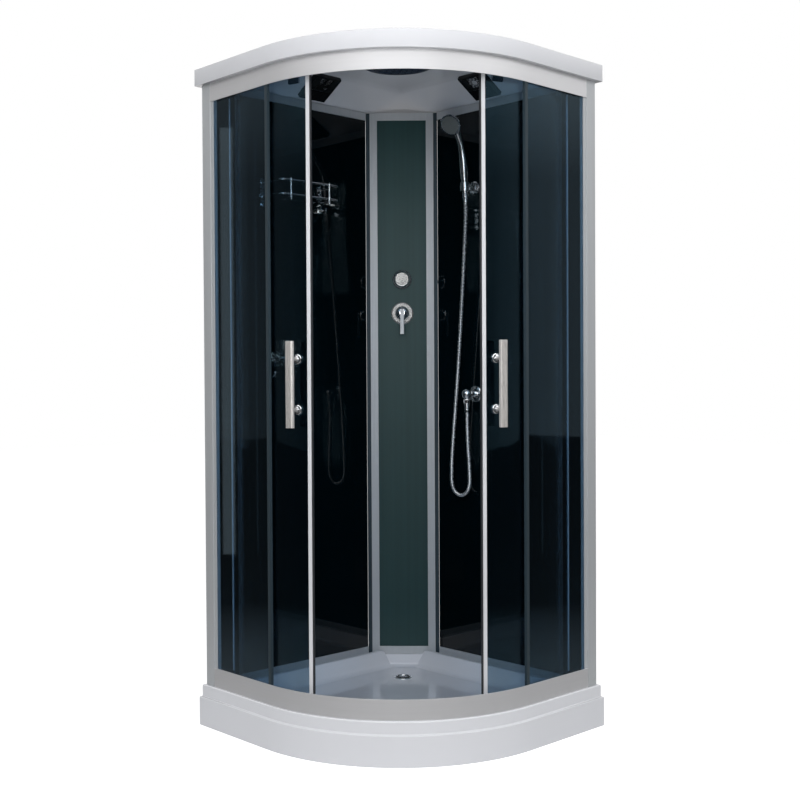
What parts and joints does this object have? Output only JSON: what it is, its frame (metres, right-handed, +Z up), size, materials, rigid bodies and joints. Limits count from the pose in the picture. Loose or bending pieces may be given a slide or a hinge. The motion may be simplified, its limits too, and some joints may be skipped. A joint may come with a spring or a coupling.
{
  "type": "steam shower cabin",
  "caption": "Corner shower cabin: quadrant tray, tinted glass walls, two curved sliding doors, domed roof, wall mixer, hand shower, overhead shower and shelf.",
  "frame": {"origin": "middle of the square footprint at floor level", "axes": "+Z up; the room corner is at +X +Y, the left wall (seen from the doorway) lies along +Y and the right wall along +X; the doorway faces -X -Y"},
  "size_m": [0.9, 0.9, 2.15],
  "materials": {
    "black_plastic": "satin",
    "brass": "satin",
    "brushed_steel": "brushed",
    "chrome": "polished",
    "clear_glass": "gloss",
    "dark_blue_plastic": "gloss",
    "dark_panel": "gloss",
    "dark_rubber": "matte",
    "galvanised_steel": "satin",
    "grey_plastic": "matte",
    "ribbed_steel": "satin",
    "satin_aluminium": "satin",
    "slate_strip": "satin",
    "tinted_glass": "gloss",
    "white_acrylic": "gloss",
    "white_nylon": "satin"
  },
  "bodies": {
    "cabin": {"bottom_rail": "satin_aluminium", "column_cross_rails": "satin_aluminium", "column_panel": "dark_panel", "column_side_strips": "slate_strip", "column_stile_left": "satin_aluminium", "column_stile_right": "satin_aluminium", "cup_holder": "chrome", "diverter_ring": "chrome", "drain_trap": "grey_plastic", "fan_grille": "black_plastic", "fixed_edge_strip_left": "satin_aluminium", "fixed_edge_strip_right": "satin_aluminium", "fixed_glass_left": "tinted_glass", "fixed_glass_right": "tinted_glass", "holder_base": "chrome", "hose": "ribbed_steel", "mixer_plate": "chrome", "overhead_jets": "dark_rubber", "overhead_shower": "dark_blue_plastic", "roof": "white_acrylic", "shelf_brackets": "chrome", "shelf_glass": "clear_glass", "shelf_rails": "chrome", "supply_pipes": "grey_plastic", "top_rail": "satin_aluminium", "tray": "white_acrylic", "tray_feet": "grey_plastic", "tray_frame": "galvanised_steel", "valve_bodies": "brass", "vent_grille": "black_plastic", "wall_elbow": "chrome", "wall_foot_rail_left": "satin_aluminium", "wall_foot_rail_right": "satin_aluminium", "wall_head_rail_left": "satin_aluminium", "wall_head_rail_right": "satin_aluminium", "wall_panel_left": "tinted_glass", "wall_panel_right": "tinted_glass", "wall_post_left": "satin_aluminium", "wall_post_right": "satin_aluminium"},
    "door_left": {"door_glass_left": "tinted_glass", "door_edge_strips_left": "satin_aluminium", "handle_left": "brushed_steel", "door_fittings_left": "chrome"},
    "front_wheel_left": {"front_wheel_left": "white_nylon"},
    "rear_wheel_left": {"rear_wheel_left": "white_nylon"},
    "door_right": {"door_glass_right": "tinted_glass", "door_edge_strips_right": "satin_aluminium", "handle_right": "brushed_steel", "door_fittings_right": "chrome"},
    "front_wheel_right": {"front_wheel_right": "white_nylon"},
    "rear_wheel_right": {"rear_wheel_right": "white_nylon"},
    "mixer_cap": {"mixer_cap": "chrome"},
    "mixer_lever": {"mixer_lever": "chrome"},
    "diverter_knob": {"diverter_knob": "chrome"},
    "handset_holder": {"holder_clip": "chrome", "hand_shower": "chrome", "spray_face": "dark_rubber"},
    "cup": {"glass_cup": "clear_glass"},
    "drain_cover": {"drain_cover": "chrome"},
    "fan": {"fan_rotor": "black_plastic"}
  },
  "joints": [
    {"name": "door_left_roll", "type": "hinge", "parent": "cabin", "child": "door_left", "pos_m": [0.25301, 0.18399, 1.073], "axis": [0, 0, 1], "range_deg": [0, 21.5]},
    {"name": "door_right_roll", "type": "hinge", "parent": "cabin", "child": "door_right", "pos_m": [0.18399, 0.25301, 1.073], "axis": [0, 0, -1], "range_deg": [0, 21.5]},
    {"name": "front_wheel_left_spin", "type": "hinge", "parent": "door_left", "child": "front_wheel_left", "pos_m": [-0.41139, 0.01765, 1.98005], "axis": [-0.9595, -0.2818, 0], "continuous": true},
    {"name": "front_wheel_right_spin", "type": "hinge", "parent": "door_right", "child": "front_wheel_right", "pos_m": [0.01765, -0.41139, 1.98005], "axis": [0.2818, 0.9595, 0], "continuous": true},
    {"name": "rear_wheel_left_spin", "type": "hinge", "parent": "door_left", "child": "rear_wheel_left", "pos_m": [-0.41179, 0.30483, 1.98005], "axis": [-0.9603, 0.2791, 0], "continuous": true},
    {"name": "rear_wheel_right_spin", "type": "hinge", "parent": "door_right", "child": "rear_wheel_right", "pos_m": [0.30483, -0.41179, 1.98005], "axis": [-0.2791, 0.9603, 0], "continuous": true},
    {"name": "mixer_turn", "type": "hinge", "parent": "cabin", "child": "mixer_cap", "pos_m": [0.3182, 0.3182, 1.32], "axis": [-0.7071, -0.7071, 0], "range_deg": [-45, 45]},
    {"name": "mixer_lift", "type": "hinge", "parent": "mixer_cap", "child": "mixer_lever", "pos_m": [0.30469, 0.30469, 1.332], "axis": [-0.7071, 0.7071, 0], "range_deg": [0, 25]},
    {"name": "diverter_turn", "type": "hinge", "parent": "cabin", "child": "diverter_knob", "pos_m": [0.3182, 0.3182, 1.439], "axis": [-0.7071, -0.7071, 0], "range_deg": [-90, 90]},
    {"name": "handset_tilt", "type": "hinge", "parent": "cabin", "child": "handset_holder", "pos_m": [0.398, 0.06, 1.736], "axis": [0, -1, 0], "range_deg": [-15, 20], "deforming": ["hose"]},
    {"name": "cup_lift", "type": "slide", "parent": "cabin", "child": "cup", "axis": [0, 0, 1], "range_m": [0, 0.12]},
    {"name": "drain_cover_lift", "type": "slide", "parent": "cabin", "child": "drain_cover", "axis": [0, 0, 1], "range_m": [0, 0.1]},
    {"name": "fan_spin", "type": "hinge", "parent": "cabin", "child": "fan", "pos_m": [-0.022, 0.357, 2.06448], "axis": [0, -0.5172, -0.8559], "continuous": true}
  ],
  "couplings": [
    {"joint": "front_wheel_left_spin", "follows": "door_left_roll", "ratio": -62.213},
    {"joint": "front_wheel_right_spin", "follows": "door_right_roll", "ratio": -62.213},
    {"joint": "rear_wheel_left_spin", "follows": "door_left_roll", "ratio": -61.1},
    {"joint": "rear_wheel_right_spin", "follows": "door_right_roll", "ratio": -61.1}
  ]
}
